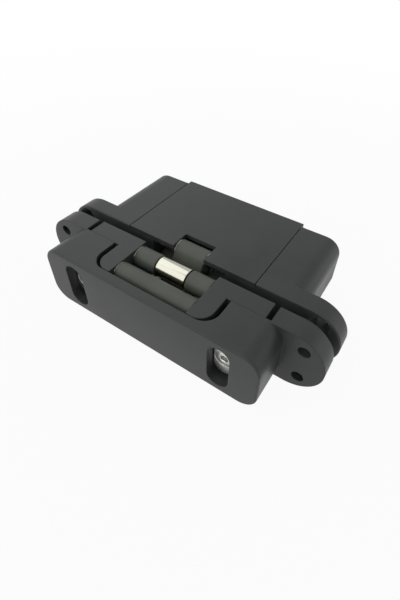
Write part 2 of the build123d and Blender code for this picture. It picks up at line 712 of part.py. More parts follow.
def cylinder_cap():
    """Plug that shuts the bore at the rear, under the cover's rear wall."""
    middle = CAP_START + CAP_THICK / 2
    outer = BORE_R - RUN
    with BuildPart() as cap:
        with BuildSketch(Plane.XY):
            with BuildLine():
                Polyline(
                    (0, CAP_START),
                    (outer, CAP_START),
                    (outer, middle - SEAL_GROOVE / 2),
                    (outer - SEAL_GROOVE, middle - SEAL_GROOVE / 2),
                    (outer - SEAL_GROOVE, middle + SEAL_GROOVE / 2),
                    (outer, middle + SEAL_GROOVE / 2),
                    (outer, BLOCK_END),
                    (0, BLOCK_END),
                    close=True,
                )
            make_face()
        revolve(axis=Axis.Y)
    finish(cap, "cylinder_cap")


def speed_screw(name, x):
    """Needle screw with a slotted head just below the door leaf's mounting face."""
    head = DOOR_FACE + VALVE_SINK
    needle = DOOR_FACE + VALVE_DEPTH - VALVE_TIP - VALVE_R
    shank_r = VALVE_R - RUN
    with BuildPart() as screw:
        with BuildSketch(Plane.XY):
            with BuildLine():
                Polyline(
                    (x, head),
                    (x + VALVE_HEAD_R - RUN, head),
                    (x + VALVE_HEAD_R - RUN, head + VALVE_HEAD),
                    (x + shank_r, head + VALVE_HEAD),
                    (x + shank_r, GROOVE_Y - VALVE_GROOVE / 2),
                    (x + shank_r - VALVE_GROOVE, GROOVE_Y - VALVE_GROOVE / 2),
                    (x + shank_r - VALVE_GROOVE, GROOVE_Y + VALVE_GROOVE / 2),
                    (x + shank_r, GROOVE_Y + VALVE_GROOVE / 2),
                    (x + shank_r, needle),
                    (x, needle + VALVE_R),
                    close=True,
                )
            make_face()
        revolve(axis=Axis((x, 0, 0), (0, 1, 0)))
        with BuildSketch(facing_rear(head)):
            with Locations((x, 0)):
                Rectangle(2 * VALVE_HEAD_R, VALVE_SLOT)
        extrude(amount=VALVE_SLOT, mode=Mode.SUBTRACT)
    finish(screw, name)


def main():
    """Build every piece, leaf by leaf."""
    os.makedirs("parts", exist_ok=True)
    frame_housing()
    carrier()
    clamp_slides()
    clamp_screws()
    clamp_nuts()
    spacer_sleeve()
    all_washers()
    outer_arms()
    inner_arm()
    arm_bushes()
    link()
    pins()
    door_body()
    door_cover()
    cover_screws()
    crosshead()
    piston_rod()
    piston()
    check_balls()
    seals()
    speed_screw_seals()
    closing_spring()
    gland()
    cylinder_cap()
    speed_screw("closing_speed_screw", -VALVE_X)
    speed_screw("latching_speed_screw", VALVE_X)


main()
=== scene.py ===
"""Looks of a concealed hydraulic door hinge with crossing arms, lying shut on its side.

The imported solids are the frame: X runs along the hinge axis, Y from the frame leaf to the door leaf and Z
across the door's thickness, in metres. The script dresses every solid in a finish of its own, replaces the
small bright parts with finer surfaces, and sets the floor, the light and the camera.
"""

import json
import logging
from dataclasses import dataclass
from enum import Enum
from typing import Sequence

import bmesh
import bpy
import numpy as np
from mathutils import Euler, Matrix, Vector

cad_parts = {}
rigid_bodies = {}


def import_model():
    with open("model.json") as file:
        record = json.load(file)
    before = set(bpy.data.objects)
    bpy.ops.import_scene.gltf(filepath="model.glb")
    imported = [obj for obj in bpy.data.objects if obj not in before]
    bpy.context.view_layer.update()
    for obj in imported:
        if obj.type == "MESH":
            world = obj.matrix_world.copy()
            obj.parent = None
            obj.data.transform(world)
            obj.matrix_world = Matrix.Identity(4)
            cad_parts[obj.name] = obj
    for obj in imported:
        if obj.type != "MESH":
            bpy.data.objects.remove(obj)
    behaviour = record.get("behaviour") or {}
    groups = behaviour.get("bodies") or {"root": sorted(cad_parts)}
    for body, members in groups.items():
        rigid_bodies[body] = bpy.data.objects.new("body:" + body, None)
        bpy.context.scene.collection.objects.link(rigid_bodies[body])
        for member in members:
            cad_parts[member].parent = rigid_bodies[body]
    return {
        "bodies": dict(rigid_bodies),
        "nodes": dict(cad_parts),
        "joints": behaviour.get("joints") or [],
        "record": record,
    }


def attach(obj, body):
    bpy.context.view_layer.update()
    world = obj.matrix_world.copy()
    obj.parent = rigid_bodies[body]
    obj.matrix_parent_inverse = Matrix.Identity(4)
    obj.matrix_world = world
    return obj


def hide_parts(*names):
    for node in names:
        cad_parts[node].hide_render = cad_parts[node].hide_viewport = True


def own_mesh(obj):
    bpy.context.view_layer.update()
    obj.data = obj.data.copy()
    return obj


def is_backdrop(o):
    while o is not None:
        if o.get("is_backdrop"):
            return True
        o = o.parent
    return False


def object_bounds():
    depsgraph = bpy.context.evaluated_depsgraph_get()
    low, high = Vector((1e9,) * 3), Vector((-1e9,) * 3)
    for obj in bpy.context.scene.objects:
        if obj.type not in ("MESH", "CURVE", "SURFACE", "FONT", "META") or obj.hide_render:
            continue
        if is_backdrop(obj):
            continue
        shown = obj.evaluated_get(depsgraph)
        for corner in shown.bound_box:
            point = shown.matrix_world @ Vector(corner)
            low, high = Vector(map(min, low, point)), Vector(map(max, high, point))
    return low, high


LOG = logging.getLogger("hinge")

RGB = tuple[float, float, float]
Place = tuple[float, float, float]
Pair = tuple[float, float]
Shell = tuple[np.ndarray, np.ndarray]
Frame = dict

MM = 0.001
TURN = 2.0 * np.pi

# Parts of a cloudy pattern's range that a finish spreads over its own values, the wider the softer
WIDE = (0.3, 0.7)
SOFT = (0.32, 0.68)
MIDDLE = (0.35, 0.65)
CRISP = (0.38, 0.62)
STREAKY = (0.36, 0.58)
WHOLE = (0.0, 1.0)


class Way(Enum):
    """Axis of a turned part, which is also the direction that its tool marks lie across."""

    ALONG_X = 0
    ALONG_Y = 1
    ALONG_Z = 2


class Head(Enum):
    """Shape of a screw's head below its rim."""

    CYLINDER = "cylinder"
    CONE = "cone"


# Shader building


def worked_out(tree: bpy.types.NodeTree, operation: str, first: bpy.types.NodeSocket,
               second: bpy.types.NodeSocket) -> bpy.types.NodeSocket:
    """Work out one value from two.

    Args:
        tree: Node tree that takes the new node.
        operation: Blender's name for how, such as MULTIPLY.
        first: First value.
        second: Second value.

    Returns:
        The result.
    """
    made = tree.nodes.new("ShaderNodeMath")
    made.operation = operation
    tree.links.new(first, made.inputs[0])
    tree.links.new(second, made.inputs[1])
    return made.outputs[0]


def seen_directly(tree: bpy.types.NodeTree) -> bpy.types.NodeSocket:
    """Find the rays that see the background itself: camera, glossy and transmitted ones.

    Args:
        tree: Node tree that takes the new nodes.

    Returns:
        1 for those rays and 0 for the ones that light the hinge.
    """
    path = tree.nodes.new("ShaderNodeLightPath")
    mirrored = worked_out(tree, "MAXIMUM", path.outputs["Is Camera Ray"], path.outputs["Is Glossy Ray"])
    return worked_out(tree, "MAXIMUM", mirrored, path.outputs["Is Transmission Ray"])


def scaled(colour: RGB, factor: float) -> RGB:
    """Make a colour darker or lighter by a factor."""
    return tuple(channel * factor for channel in colour)


class Shader:
    """Node tree of one material, with short ways to add and join its nodes."""

    # Sockets of the colour mix by number, because its other kinds of mix have sockets of the same names
    COLOUR_UNDER = 6
    COLOUR_OVER = 7
    COLOUR_RESULT = 2

    # Cosine of the angle between the rounded and the true normal, on a flat and right at an edge
    LEAN_ON_FLAT = 0.995
    LEAN_AT_EDGE = 0.82
    BEVEL_SAMPLES = 6

    def __init__(self, name: str) -> None:
        """Start the material.

        Args:
            name: Name of the finish, in a maker's words.
        """
        self.material = bpy.data.materials.new(name)
        self.material.use_nodes = True
        self.tree = self.material.node_tree
        self.tree.nodes.clear()
        self.out = self.tree.nodes.new("ShaderNodeOutputMaterial")
        self.surface = self.tree.nodes.new("ShaderNodeBsdfPrincipled")
        self.tree.links.new(self.surface.outputs[0], self.out.inputs["Surface"])
        self.place = self.tree.nodes.new("ShaderNodeTexCoord").outputs["Object"]

    def node(self, kind: str, **sockets: object) -> bpy.types.Node:
        """Add a node and set its inputs.

        Args:
            kind: Blender's name for the node.
            **sockets: Input values by name, with underscores for spaces.

        Returns:
            The new node.
        """
        made = self.tree.nodes.new(kind)
        for key, value in sockets.items():
            made.inputs[key.replace("_", " ")].default_value = value
        return made

    def join(self, source: bpy.types.NodeSocket, target: bpy.types.NodeSocket) -> None:
        """Join an output to an input."""
        self.tree.links.new(source, target)

    def feed(self, source: bpy.types.NodeSocket, target: str) -> None:
        """Join an output to a named input of the surface."""
        self.join(source, self.surface.inputs[target])

    def fix(self, target: str, value: object) -> None:
        """Set a named input of the surface to one value all over."""
        self.surface.inputs[target].default_value = value

    def stretched(self, scale: Sequence[float]) -> bpy.types.NodeSocket:
        """Stretch the object coordinates.

        Args:
            scale: Factor for each axis.

        Returns:
            The stretched coordinates.
        """
        mapping = self.node("ShaderNodeMapping", Scale=tuple(scale))
        self.join(self.place, mapping.inputs["Vector"])
        return mapping.outputs["Vector"]

    def noise(self, per_metre: float, detail: float = 3.0, rough: float = 0.5,
              scale: Sequence[float] | None = None) -> bpy.types.NodeSocket:
        """Make a cloudy pattern fixed to the piece.

        Args:
            per_metre: Number of clouds to the metre.
            detail: Number of finer layers.
            rough: Strength of each finer layer against the last.
            scale: Stretch of the pattern, one factor for each axis.

        Returns:
            The pattern's value, about 0.3 to 0.7.
        """
        made = self.node("ShaderNodeTexNoise", Scale=per_metre, Detail=detail, Roughness=rough)
        self.join(self.stretched(scale) if scale else self.place, made.inputs["Vector"])
        return made.outputs["Fac"]

    def span(self, value: bpy.types.NodeSocket, source: Pair, result: Pair) -> bpy.types.NodeSocket:
        """Map a value from one range to another, clamped.

        Args:
            value: The value to map.
            source: Start and end of its range.
            result: Result at the start and at the end.

        Returns:
            The mapped value.
        """
        made = self.node("ShaderNodeMapRange", From_Min=source[0], From_Max=source[1],
                         To_Min=result[0], To_Max=result[1])
        self.join(value, made.inputs["Value"])
        return made.outputs["Result"]

    def blend(self, factor: bpy.types.NodeSocket, first: RGB, second: RGB) -> bpy.types.NodeSocket:
        """Blend two plain colours.

        Args:
            factor: 0 for the first colour, 1 for the second.
            first: Linear colour at 0.
            second: Linear colour at 1.

        Returns:
            The blended colour.
        """
        ramp = self.node("ShaderNodeValToRGB")
        ramp.color_ramp.elements[0].color = (*first, 1.0)
        ramp.color_ramp.elements[1].color = (*second, 1.0)
        self.join(factor, ramp.inputs["Fac"])
        return ramp.outputs["Color"]

    def laid_over(self, factor: bpy.types.NodeSocket, under: bpy.types.NodeSocket,
                  colour: RGB) -> bpy.types.NodeSocket:
        """Lay a plain colour over a pattern.

        Args:
            factor: Share of the plain colour.
            under: The pattern's colour.
            colour: Linear colour that goes over it.

        Returns:
            The mixed colour.
        """
        made = self.node("ShaderNodeMix")
        made.data_type = "RGBA"
        self.join(factor, made.inputs["Factor"])
        self.join(under, made.inputs[self.COLOUR_UNDER])
        made.inputs[self.COLOUR_OVER].default_value = (*colour, 1.0)
        return made.outputs[self.COLOUR_RESULT]

    def bump(self, height: bpy.types.NodeSocket, depth: float, strength: float,
             under: bpy.types.NodeSocket | None = None) -> bpy.types.NodeSocket:
        """Turn a height pattern into relief.

        Args:
            height: The pattern, 0 to 1.
            depth: Height of the pattern in metres.
            strength: Share of the relief that shows.
            under: Normal that the relief adds to.

        Returns:
            The new normal.
        """
        made = self.node("ShaderNodeBump", Strength=strength, Distance=depth)
        self.join(height, made.inputs["Height"])
        if under is not None:
            self.join(under, made.inputs["Normal"])
        return made.outputs["Normal"]

    def rounded(self, radius: float) -> bpy.types.NodeSocket:
        """Let the light run softly over sharp edges, as over the small radius that tumbling leaves.

        Args:
            radius: Reach of the rounding in metres.

        Returns:
            The rounded normal.
        """
        made = self.node("ShaderNodeBevel", Radius=radius)
        made.samples = self.BEVEL_SAMPLES
        return made.outputs["Normal"]

    def edges(self, radius: float) -> bpy.types.NodeSocket:
        """Find the edges, from how far the rounded normal leans from the true one.

        Args:
            radius: Reach of an edge in metres.

        Returns:
            0 on flats and 1 at an edge.
        """
        geometry = self.node("ShaderNodeNewGeometry")
        lean = self.node("ShaderNodeVectorMath")
        lean.operation = "DOT_PRODUCT"
        self.join(self.rounded(radius), lean.inputs[0])
        self.join(geometry.outputs["Normal"], lean.inputs[1])
        return self.span(lean.outputs["Value"], (self.LEAN_ON_FLAT, self.LEAN_AT_EDGE), WHOLE)


# Finishes


@dataclass(frozen=True)
class CoatedMetal:
    """Thin dark coating over machined steel: fine orange peel, cloudy gloss, and edges made lighter in
    patches, partly as rubbed wear and partly as a painted highlight.
    """

    name: str
    colour: RGB
    roughness: float = 0.42
    grain: float = 1500.0
    # Share of the lighter edge colour: partly rubbed wear, partly a painted highlight along the edges
    rub_and_highlight: float = 0.03
    gloss: float = 0.26
    grain_depth: float = 0.00003
    grain_strength: float = 0.55
    edge_radius: float = 0.0005
    clouds: float = 55.0
    cloud_swing: float = 0.14
    smoother: float = 0.05
    rougher: float = 0.07
    edge_patches: float = 900.0
    least_rub_and_highlight: float = 0.25
    # Lighter edge colour, for rubbed wear and painted highlight: the coat's colour times a gain, plus a lift
    bare_and_highlight_gain: float = 2.6
    bare_and_highlight_lift: float = 0.03

    def material(self) -> bpy.types.Material:
        """Build the finish: tinted in clouds, lighter along its edges in patches, as rubbed wear and as a
        painted highlight.

        Returns:
            The material.
        """
        s = Shader(self.name)
        clouds = s.noise(self.clouds, detail=4.0, rough=0.55)
        edge_patches = s.noise(self.edge_patches, detail=2.0, rough=0.6)
        darker = scaled(self.colour, 1.0 - self.cloud_swing)
        lighter = scaled(self.colour, 1.0 + self.cloud_swing)
        tint = s.blend(s.span(clouds, SOFT, WHOLE), darker, lighter)
        # Painted highlight: the edges are lightened in patches, standing for the glints of their rounded
        # edges as well as for rubbed wear
        patchy = s.span(edge_patches, CRISP, (self.least_rub_and_highlight * self.rub_and_highlight, self.rub_and_highlight))
        worn_and_highlit = worked_out(s.tree, "MULTIPLY", s.edges(self.edge_radius), patchy)
        bare_and_highlight = tuple(min(1.0, channel * self.bare_and_highlight_gain + self.bare_and_highlight_lift) for channel in self.colour)
        satin = (self.roughness - self.smoother, self.roughness + self.rougher)
        peel = s.noise(self.grain, rough=0.6)
        s.feed(s.laid_over(worn_and_highlit, tint, bare_and_highlight), "Base Color")
        s.feed(s.span(clouds, WIDE, satin), "Roughness")
        s.feed(s.bump(peel, self.grain_depth, self.grain_strength, s.rounded(self.edge_radius)), "Normal")
        s.fix("Specular IOR Level", self.gloss)
        return s.material


@dataclass(frozen=True)
class TurnedMetal:
    """Bare metal off a lathe or a grinder: fine rings round the part and a soft streaky gloss."""

    name: str
    colour: RGB
    way: Way = Way.ALONG_X
    roughness: float = 0.28
    rings: float = 5000.0
    ring_depth: float = 0.000008
    ring_strength: float = 0.5
    ring_stretch: float = 0.02
    clouds: float = 160.0
    dull: float = 0.88
    smoother: float = 0.06
    rougher: float = 0.1
    edge_radius: float = 0.00025

    def material(self) -> bpy.types.Material:
        """Build the finish: a pattern fine along the axis and drawn out across it makes the rings.

        Returns:
            The material.
        """
        s = Shader(self.name)
        scale = [self.ring_stretch] * 3
        scale[self.way.value] = 1.0
        rings = s.noise(self.rings, rough=0.6, scale=scale)
        clouds = s.noise(self.clouds)
        tint = s.blend(s.span(clouds, WIDE, WHOLE), scaled(self.colour, self.dull), self.colour)
        streaky = (self.roughness - self.smoother, self.roughness + self.rougher)
        s.feed(tint, "Base Color")
        s.feed(s.span(rings, WIDE, streaky), "Roughness")
        s.feed(s.bump(rings, self.ring_depth, self.ring_strength, s.rounded(self.edge_radius)), "Normal")
        s.fix("Metallic", 1.0)
        return s.material


@dataclass(frozen=True)
class BrightPlating:
    """Polished plating on drawn tube: almost a mirror, with soft streaks and hairlines along the tube."""

    name: str
    colour: RGB
    roughness: float = 0.1
    rougher: float = 0.07
    haze: float = 300.0
    streaks: float = 300.0
    streak_stretch: float = 0.05
    dull: float = 0.74
    hairs: float = 7000.0
    hair_stretch: float = 0.03
    hair_depth: float = 0.000004
    hair_strength: float = 0.3
    edge_radius: float = 0.0002

    def material(self) -> bpy.types.Material:
        """Build the finish for a tube along X: both line patterns are drawn out that way.

        Returns:
            The material.
        """
        s = Shader(self.name)
        drawn = s.noise(self.streaks, rough=0.55, scale=(self.streak_stretch, 1.0, 1.0))
        hairs = s.noise(self.hairs, detail=2.0, scale=(self.hair_stretch, 1.0, 1.0))
        haze = s.noise(self.haze)
        tint = s.blend(s.span(drawn, STREAKY, WHOLE), scaled(self.colour, self.dull), self.colour)
        s.feed(tint, "Base Color")
        s.feed(s.span(haze, MIDDLE, (self.roughness, self.roughness + self.rougher)), "Roughness")
        s.feed(s.bump(hairs, self.hair_depth, self.hair_strength, s.rounded(self.edge_radius)), "Normal")
        s.fix("Metallic", 1.0)
        return s.material


@dataclass(frozen=True)
class MouldedRubber:
    """Black rubber of the seals: matte, with a faint bloom."""

    name: str = "seal_rubber"
    colour: RGB = (0.016, 0.016, 0.017)
    bloom: float = 700.0
    bloom_gain: float = 1.8
    roughness: Pair = (0.55, 0.7)
    relief: float = 0.00002
    relief_strength: float = 0.4

    def material(self) -> bpy.types.Material:
        """Build the finish: one pattern sets its colour, its gloss and its relief.

        Returns:
            The material.
        """
        s = Shader(self.name)
        bloom = s.span(s.noise(self.bloom, rough=0.6), MIDDLE, WHOLE)
        s.feed(s.blend(bloom, self.colour, scaled(self.colour, self.bloom_gain)), "Base Color")
        s.feed(s.span(bloom, WHOLE, self.roughness), "Roughness")
        s.feed(s.bump(bloom, self.relief, self.relief_strength), "Normal")
        return s.material


# Surfaces worked out on a grid


def grid_faces(rows: int, columns: int, loop_rows: bool) -> np.ndarray:
    """Join neighbouring points of a grid by quads, the last column to the first.

    Args:
        rows: Number of rows.
        columns: Number of columns.
        loop_rows: Whether the last row joins the first too.

    Returns:
        Four point numbers for each face.
    """
    row = np.arange(rows if loop_rows else rows - 1)[:, None]
    column = np.arange(columns)[None, :]
    after_row = (row + 1) % rows
    after_column = (column + 1) % columns
    corners = (row * columns + column, row * columns + after_column,
               after_row * columns + after_column, after_row * columns + column)
    return np.stack([np.broadcast_to(c, (len(row), columns)).ravel() for c in corners], axis=1)


def rounded_loop(low: float, high: float, inner: float, outer: float, corner: float,
                 steps: int = 6) -> np.ndarray:
    """Draw the closed outline of a tube's wall, its four corners rounded.

    Each corner is a quarter circle: centre plus radius times cosine and sine of an angle that runs a
    quarter turn in equal steps.

    Args:
        low: Lower end along the axis.
        high: Upper end along the axis.
        inner: Radius of the bore.
        outer: Radius of the outside.
        corner: Radius of each corner.
        steps: Steps in each corner.

    Returns:
        Rows of place along the axis and distance from it.
    """
    centres = ((high - corner, outer - corner, 0.0), (low + corner, outer - corner, 90.0),
               (low + corner, inner + corner, 180.0), (high - corner, inner + corner, 270.0))
    arcs = []
    for along, away, first in centres:
        angle = np.radians(first + np.linspace(0.0, 90.0, steps + 1))
        arcs.append(np.stack([along + corner * np.cos(angle), away + corner * np.sin(angle)], axis=1))
    return np.concatenate(arcs)


def turned(outline: np.ndarray, axis: Way, centre: Sequence[float], closed: bool, steps: int = 96) -> Shell:
    """Turn an outline about an axis.

    A point is the centre, plus its place along the axis, plus its distance from the axis times the cosine
    and sine of the turn in the other two directions.

    Args:
        outline: Rows of place along the axis and distance from it.
        axis: Direction of the axis.
        centre: Any point that the axis goes through, its own place along the axis ignored.
        closed: Whether the outline closes on itself, as for a ring.
        steps: Steps in a turn.

    Returns:
        Points and faces.
    """
    turn = np.linspace(0.0, TURN, steps, endpoint=False)
    along = np.broadcast_to(outline[:, :1], (len(outline), steps))
    second = outline[:, 1:] * np.cos(turn)
    third = outline[:, 1:] * np.sin(turn)
    order = [axis.value, (axis.value + 1) % 3, (axis.value + 2) % 3]
    grid = np.zeros((len(outline), steps, 3))
    for where, values in zip(order, (along, second, third)):
        grid[:, :, where] = values
    shift = np.array(centre, float)
    shift[axis.value] = 0.0
    return grid.reshape(-1, 3) + shift, grid_faces(len(outline), steps, closed)


def ball(centre: Place, radius: float, steps: int = 48) -> Shell:
    """Make a ball: a half circle turned about Y, with its poles closed.

    Args:
        centre: Middle of the ball.
        radius: Its radius.
        steps: Steps in a turn.

    Returns:
        Points and faces.
    """
    angle = np.linspace(0.0, np.pi, steps // 2 + 1)
    outline = np.stack([centre[1] + radius * np.cos(angle), radius * np.sin(angle)], axis=1)
    return turned(outline, Way.ALONG_Y, centre, closed=False, steps=steps)


def coil(start: float, end: float, radius: float, wire: float, turns: float, level: float = 0.4,
         steps: int = 48, wire_steps: int = 14) -> Shell:
    """Wind a compression spring along Y with ends laid flat.

    The wire's middle goes round a circle in X and Z while its height rises evenly, apart from a level
    stretch at both ends. Round each point of it lies a circle in the plane of the radius and of Y, which is
    nearly square to the wire, and it shrinks to nothing at the two ends.

    Args:
        start: Lower face of the spring.
        end: Upper face.
        radius: Distance of the wire's middle from the axis.
        wire: Radius of the wire.
        turns: Number of turns.
        level: Share of a turn that lies level at each end.
        steps: Steps in a turn.
        wire_steps: Steps round the wire.

    Returns:
        Points and faces.
    """
    share = np.linspace(0.0, 1.0, int(turns * steps) + 1)
    turn = TURN * turns * share
    lead = np.clip((share * turns - level) / (turns - 2.0 * level), 0.0, 1.0)
    height = start + wire + (end - start - 2.0 * wire) * lead
    around = np.linspace(0.0, TURN, wire_steps, endpoint=False)
    thick = wire * np.clip(np.minimum(share, 1.0 - share) * turns * steps, 0.0, 1.0)[:, None]
    away = radius + thick * np.cos(around)
    grid = np.stack([away * np.cos(turn)[:, None], height[:, None] + thick * np.sin(around),
                     away * np.sin(turn)[:, None]], axis=2)
    return grid.reshape(-1, 3), grid_faces(len(share), wire_steps, False)


@dataclass(frozen=True)
class SocketScrew:
    """Screw along Y with a six-sided socket, as one closed surface from the socket's middle to its tip."""

    shape: Head
    head: float
    socket: float
    socket_depth: float
    shank: float
    length: float
    thread_start: float
    pitch: float
    head_depth: float = 0.0
    columns: int = 72
    rings_in_pitch: float = 8.0

    # Hollow that the drill leaves under the socket, and bevel of its mouth, in halves of its width over flats
    DRILL_RADIUS = 0.72
    DRILL_POINT = 0.35
    DRILL_RIM = 0.02
    MOUTH_DEPTH = 0.14

    # Size of the hexagon at the edge of its floor and at its mouth, against its size between them
    FLOOR_EDGE = 0.97
    MOUTH = 1.13

    # Rounded rim of the head, in radii of the head, and the place of the rim's middle ring within it
    RIM = 0.03
    RIM_MIDDLE = 0.3

    # Depth of the thread's groove, in pitches
    GROOVE = 0.45

    # End of the thread, edge of the tip and radius of the tip, in radii of the shank
    THREAD_END = 0.3
    TIP_EDGE = 0.2
    TIP = 0.8

    def head_rings(self, turn: np.ndarray) -> tuple[list[float], list[np.ndarray]]:
        """Work out the rings from the middle of the socket's floor to the underside of the head.

        Rings of the socket take the radius of a regular hexagon: half its width over flats divided by the
        cosine of the angle from the nearest flat. The others are round.

        Args:
            turn: Angles round the axis.

        Returns:
            A depth below the face for each ring, and its radius at each angle.
        """
        flat = self.socket * np.cos(np.pi / 6.0)
        from_flat = np.mod(turn + np.pi / 6.0, np.pi / 3.0) - np.pi / 6.0
        hexagon = flat / np.cos(from_flat)
        circle = np.ones_like(turn)
        rim = self.RIM * self.head
        rings = [
            (self.socket_depth + self.DRILL_POINT * flat, 0.0 * circle),
            (self.socket_depth + self.DRILL_RIM * flat, self.DRILL_RADIUS * flat * circle),
            (self.socket_depth, self.FLOOR_EDGE * hexagon),
            (self.MOUTH_DEPTH * flat, hexagon),
            (0.0, self.MOUTH * hexagon),
            (0.0, (self.head - rim) * circle),
            (self.RIM_MIDDLE * rim, (self.head - self.RIM_MIDDLE * rim) * circle),
            (rim, self.head * circle),
        ]
        if self.shape is Head.CONE:
            rings.append((rim + self.head - self.shank, self.shank * circle))
        else:
            rings += [(self.head_depth, self.head * circle), (self.head_depth, self.shank * circle)]
        return [depth for depth, _ in rings], [radius for _, radius in rings]

    def thread_rings(self, turn: np.ndarray, inward: float) -> tuple[np.ndarray, np.ndarray]:
        """Work out the rings of a right-hand thread cut into the shank.

        The distance from the axis is the shank's radius less a groove. The groove's depth falls and rises in
        straight flanks once in each pitch, shifted by the share of a turn, and it runs out to nothing over
        one pitch at both ends.

        Args:
            turn: Angles round the axis.
            inward: 1 where the screw points along Y, or -1 where it points against it.

        Returns:
            A depth below the face for each ring, and its radius at each angle.
        """
        end = self.length - self.THREAD_END * self.shank
        depth = np.arange(self.thread_start, end, self.pitch / self.rings_in_pitch)
        column = depth[:, None]
        wave = np.abs(2.0 * np.mod(inward * column / self.pitch + turn / TURN, 1.0) - 1.0)
        fade = np.clip(np.minimum(column - self.thread_start, end - column) / self.pitch, 0.0, 1.0)
        return depth, self.shank - self.GROOVE * self.pitch * (1.0 - wave) * fade

    def tip_rings(self, turn: np.ndarray) -> tuple[list[float], list[np.ndarray]]:
        """Work out the rings of the tip, bevelled and closed in its middle.

        Args:
            turn: Angles round the axis.

        Returns:
            A depth below the face for each ring, and its radius at each angle.
        """
        circle = np.ones_like(turn)
        depths = [self.length - self.TIP_EDGE * self.shank, self.length, self.length]
        return depths, [self.shank * circle, self.TIP * self.shank * circle, 0.0 * circle]

    def surface(self, x: float, z: float, face: float, inward: float, stop: float) -> Shell:
        """Set the rings round the screw's axis.

        A point is the axis, plus its ring's depth along Y, plus its radius times the cosine and sine of its
        angle in X and Z, all turned by the angle at which the screw stopped.

        Args:
            x: Place of the axis.
            z: Place of the axis.
            face: Place of the head's face along Y.
            inward: 1 where the screw points along Y, or -1 where it points against it.
            stop: Angle at which the screw stopped, in degrees.

        Returns:
            Points and faces.
        """
        turn = np.linspace(0.0, TURN, self.columns, endpoint=False)
        groups = (self.head_rings(turn), self.thread_rings(turn, inward), self.tip_rings(turn))
        depth = np.concatenate([depths for depths, _ in groups])[:, None]
        radius = np.concatenate([radii for _, radii in groups])
        turn = turn + np.radians(stop)
        grid = np.stack([x + radius * np.cos(turn), np.broadcast_to(face + inward * depth, radius.shape),
                         z + radius * np.sin(turn)], axis=2)
        return grid.reshape(-1, 3), grid_faces(len(depth), self.columns, False)


# Pieces


def smooth_mesh(name: str, shells: Sequence[Shell], merge: float = 1e-7,
                sharp: float = np.radians(38.0)) -> bpy.types.Mesh:
    """Put shells into one mesh, with merged poles, outward faces and smooth shading.

    Args:
        name: Name of the mesh.
        shells: Points and faces of each separate shell, in metres.
        merge: Distance under which points become one.
        sharp: Angle over which an edge stays sharp.

    Returns:
        The new mesh.
    """
    counts = np.cumsum([0] + [len(points) for points, _ in shells])
    points = np.concatenate([points for points, _ in shells])
    faces = np.concatenate([faces + first for (_, faces), first in zip(shells, counts)])
    mesh = bpy.data.meshes.new(name)
    mesh.from_pydata(points.tolist(), [], faces.tolist())
    mesh.update()
    ordered = bmesh.new()
    ordered.from_mesh(mesh)
    bmesh.ops.remove_doubles(ordered, verts=ordered.verts, dist=merge)
    bmesh.ops.recalc_face_normals(ordered, faces=ordered.faces)
    ordered.to_mesh(mesh)
    ordered.free()
    mesh.shade_smooth()
    mesh.set_sharp_from_angle(angle=sharp)
    return mesh


def piece_from(name: str, shells: Sequence[Shell], finish: bpy.types.Material, body: str,
               stands_for: Sequence[str]) -> bpy.types.Object:
    """Make one piece from shells, and let it ride on a body.

    Args:
        name: Name of the piece.
        shells: Points and faces of each separate shell, in metres.
        finish: Its material.
        body: Body that it rides on.
        stands_for: Solids that it replaces.

    Returns:
        The new object, at the origin.
    """
    mesh = smooth_mesh(name, shells)
    mesh.materials.append(finish)
    made = bpy.data.objects.new(name, mesh)
    bpy.context.scene.collection.objects.link(made)
    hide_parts(*stands_for)
    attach(made, body)
    LOG.info("piece %s on %s, %d points", name, body, len(mesh.vertices))
    return made


def dress(frame: Frame, node: str, finish: bpy.types.Material) -> None:
    """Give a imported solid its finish.

    Args:
        frame: What the frame loader returned.
        node: Name of the solid.
        finish: Material that it takes.
    """
    solid = frame["nodes"][node]
    for holder in solid.material_slots:
        holder.link = "OBJECT"
        holder.material = finish
    LOG.info("dressed %s in %s", node, finish.name)


@dataclass(frozen=True)
class Palette:
    """Every finish of the hinge, built once."""

    charcoal: bpy.types.Material
    arm_coat: bpy.types.Material
    chrome: bpy.types.Material
    ground: bpy.types.Material
    milled: bpy.types.Material
    rod_steel: bpy.types.Material
    spring_steel: bpy.types.Material
    zinc: bpy.types.Material
    washer: bpy.types.Material
    brass: bpy.types.Material
    bronze: bpy.types.Material
    rubber: bpy.types.Material

    @classmethod
    def mixed(cls) -> "Palette":
        """Build the finishes.

        Returns:
            The palette.
        """
        finishes = {
            "charcoal": CoatedMetal("charcoal_coat", (0.050, 0.0545, 0.0515)),
            # The arms' edges get a stronger painted highlight, partly rubbed wear, for the glints at the
            # barrel ends
            "arm_coat": CoatedMetal("arm_coat", (0.108, 0.115, 0.098), roughness=0.48, grain=2200.0, rub_and_highlight=0.3),
            "chrome": BrightPlating("bright_chrome", (0.45, 0.445, 0.38)),
            "ground": TurnedMetal("ground_steel", (0.56, 0.56, 0.55)),
            "milled": TurnedMetal("milled_steel", (0.52, 0.52, 0.51), roughness=0.4, rings=2200.0,
                                  ring_depth=0.000002),
            "rod_steel": TurnedMetal("rod_steel", (0.62, 0.62, 0.62), Way.ALONG_Y, roughness=0.2),
            "spring_steel": TurnedMetal("spring_steel", (0.30, 0.30, 0.31), Way.ALONG_Y, roughness=0.35),
            "zinc": TurnedMetal("zinc_screw", (0.70, 0.70, 0.68), Way.ALONG_Y, roughness=0.3, rings=3000.0),
            "washer": TurnedMetal("washer_steel", (0.66, 0.65, 0.60), roughness=0.25),
            "brass": TurnedMetal("turned_brass", (0.66, 0.48, 0.22), Way.ALONG_Y, roughness=0.3),
            "bronze": TurnedMetal("bush_bronze", (0.50, 0.34, 0.18), roughness=0.4),
            "rubber": MouldedRubber(),
        }
        return cls(**{name: finish.material() for name, finish in finishes.items()})


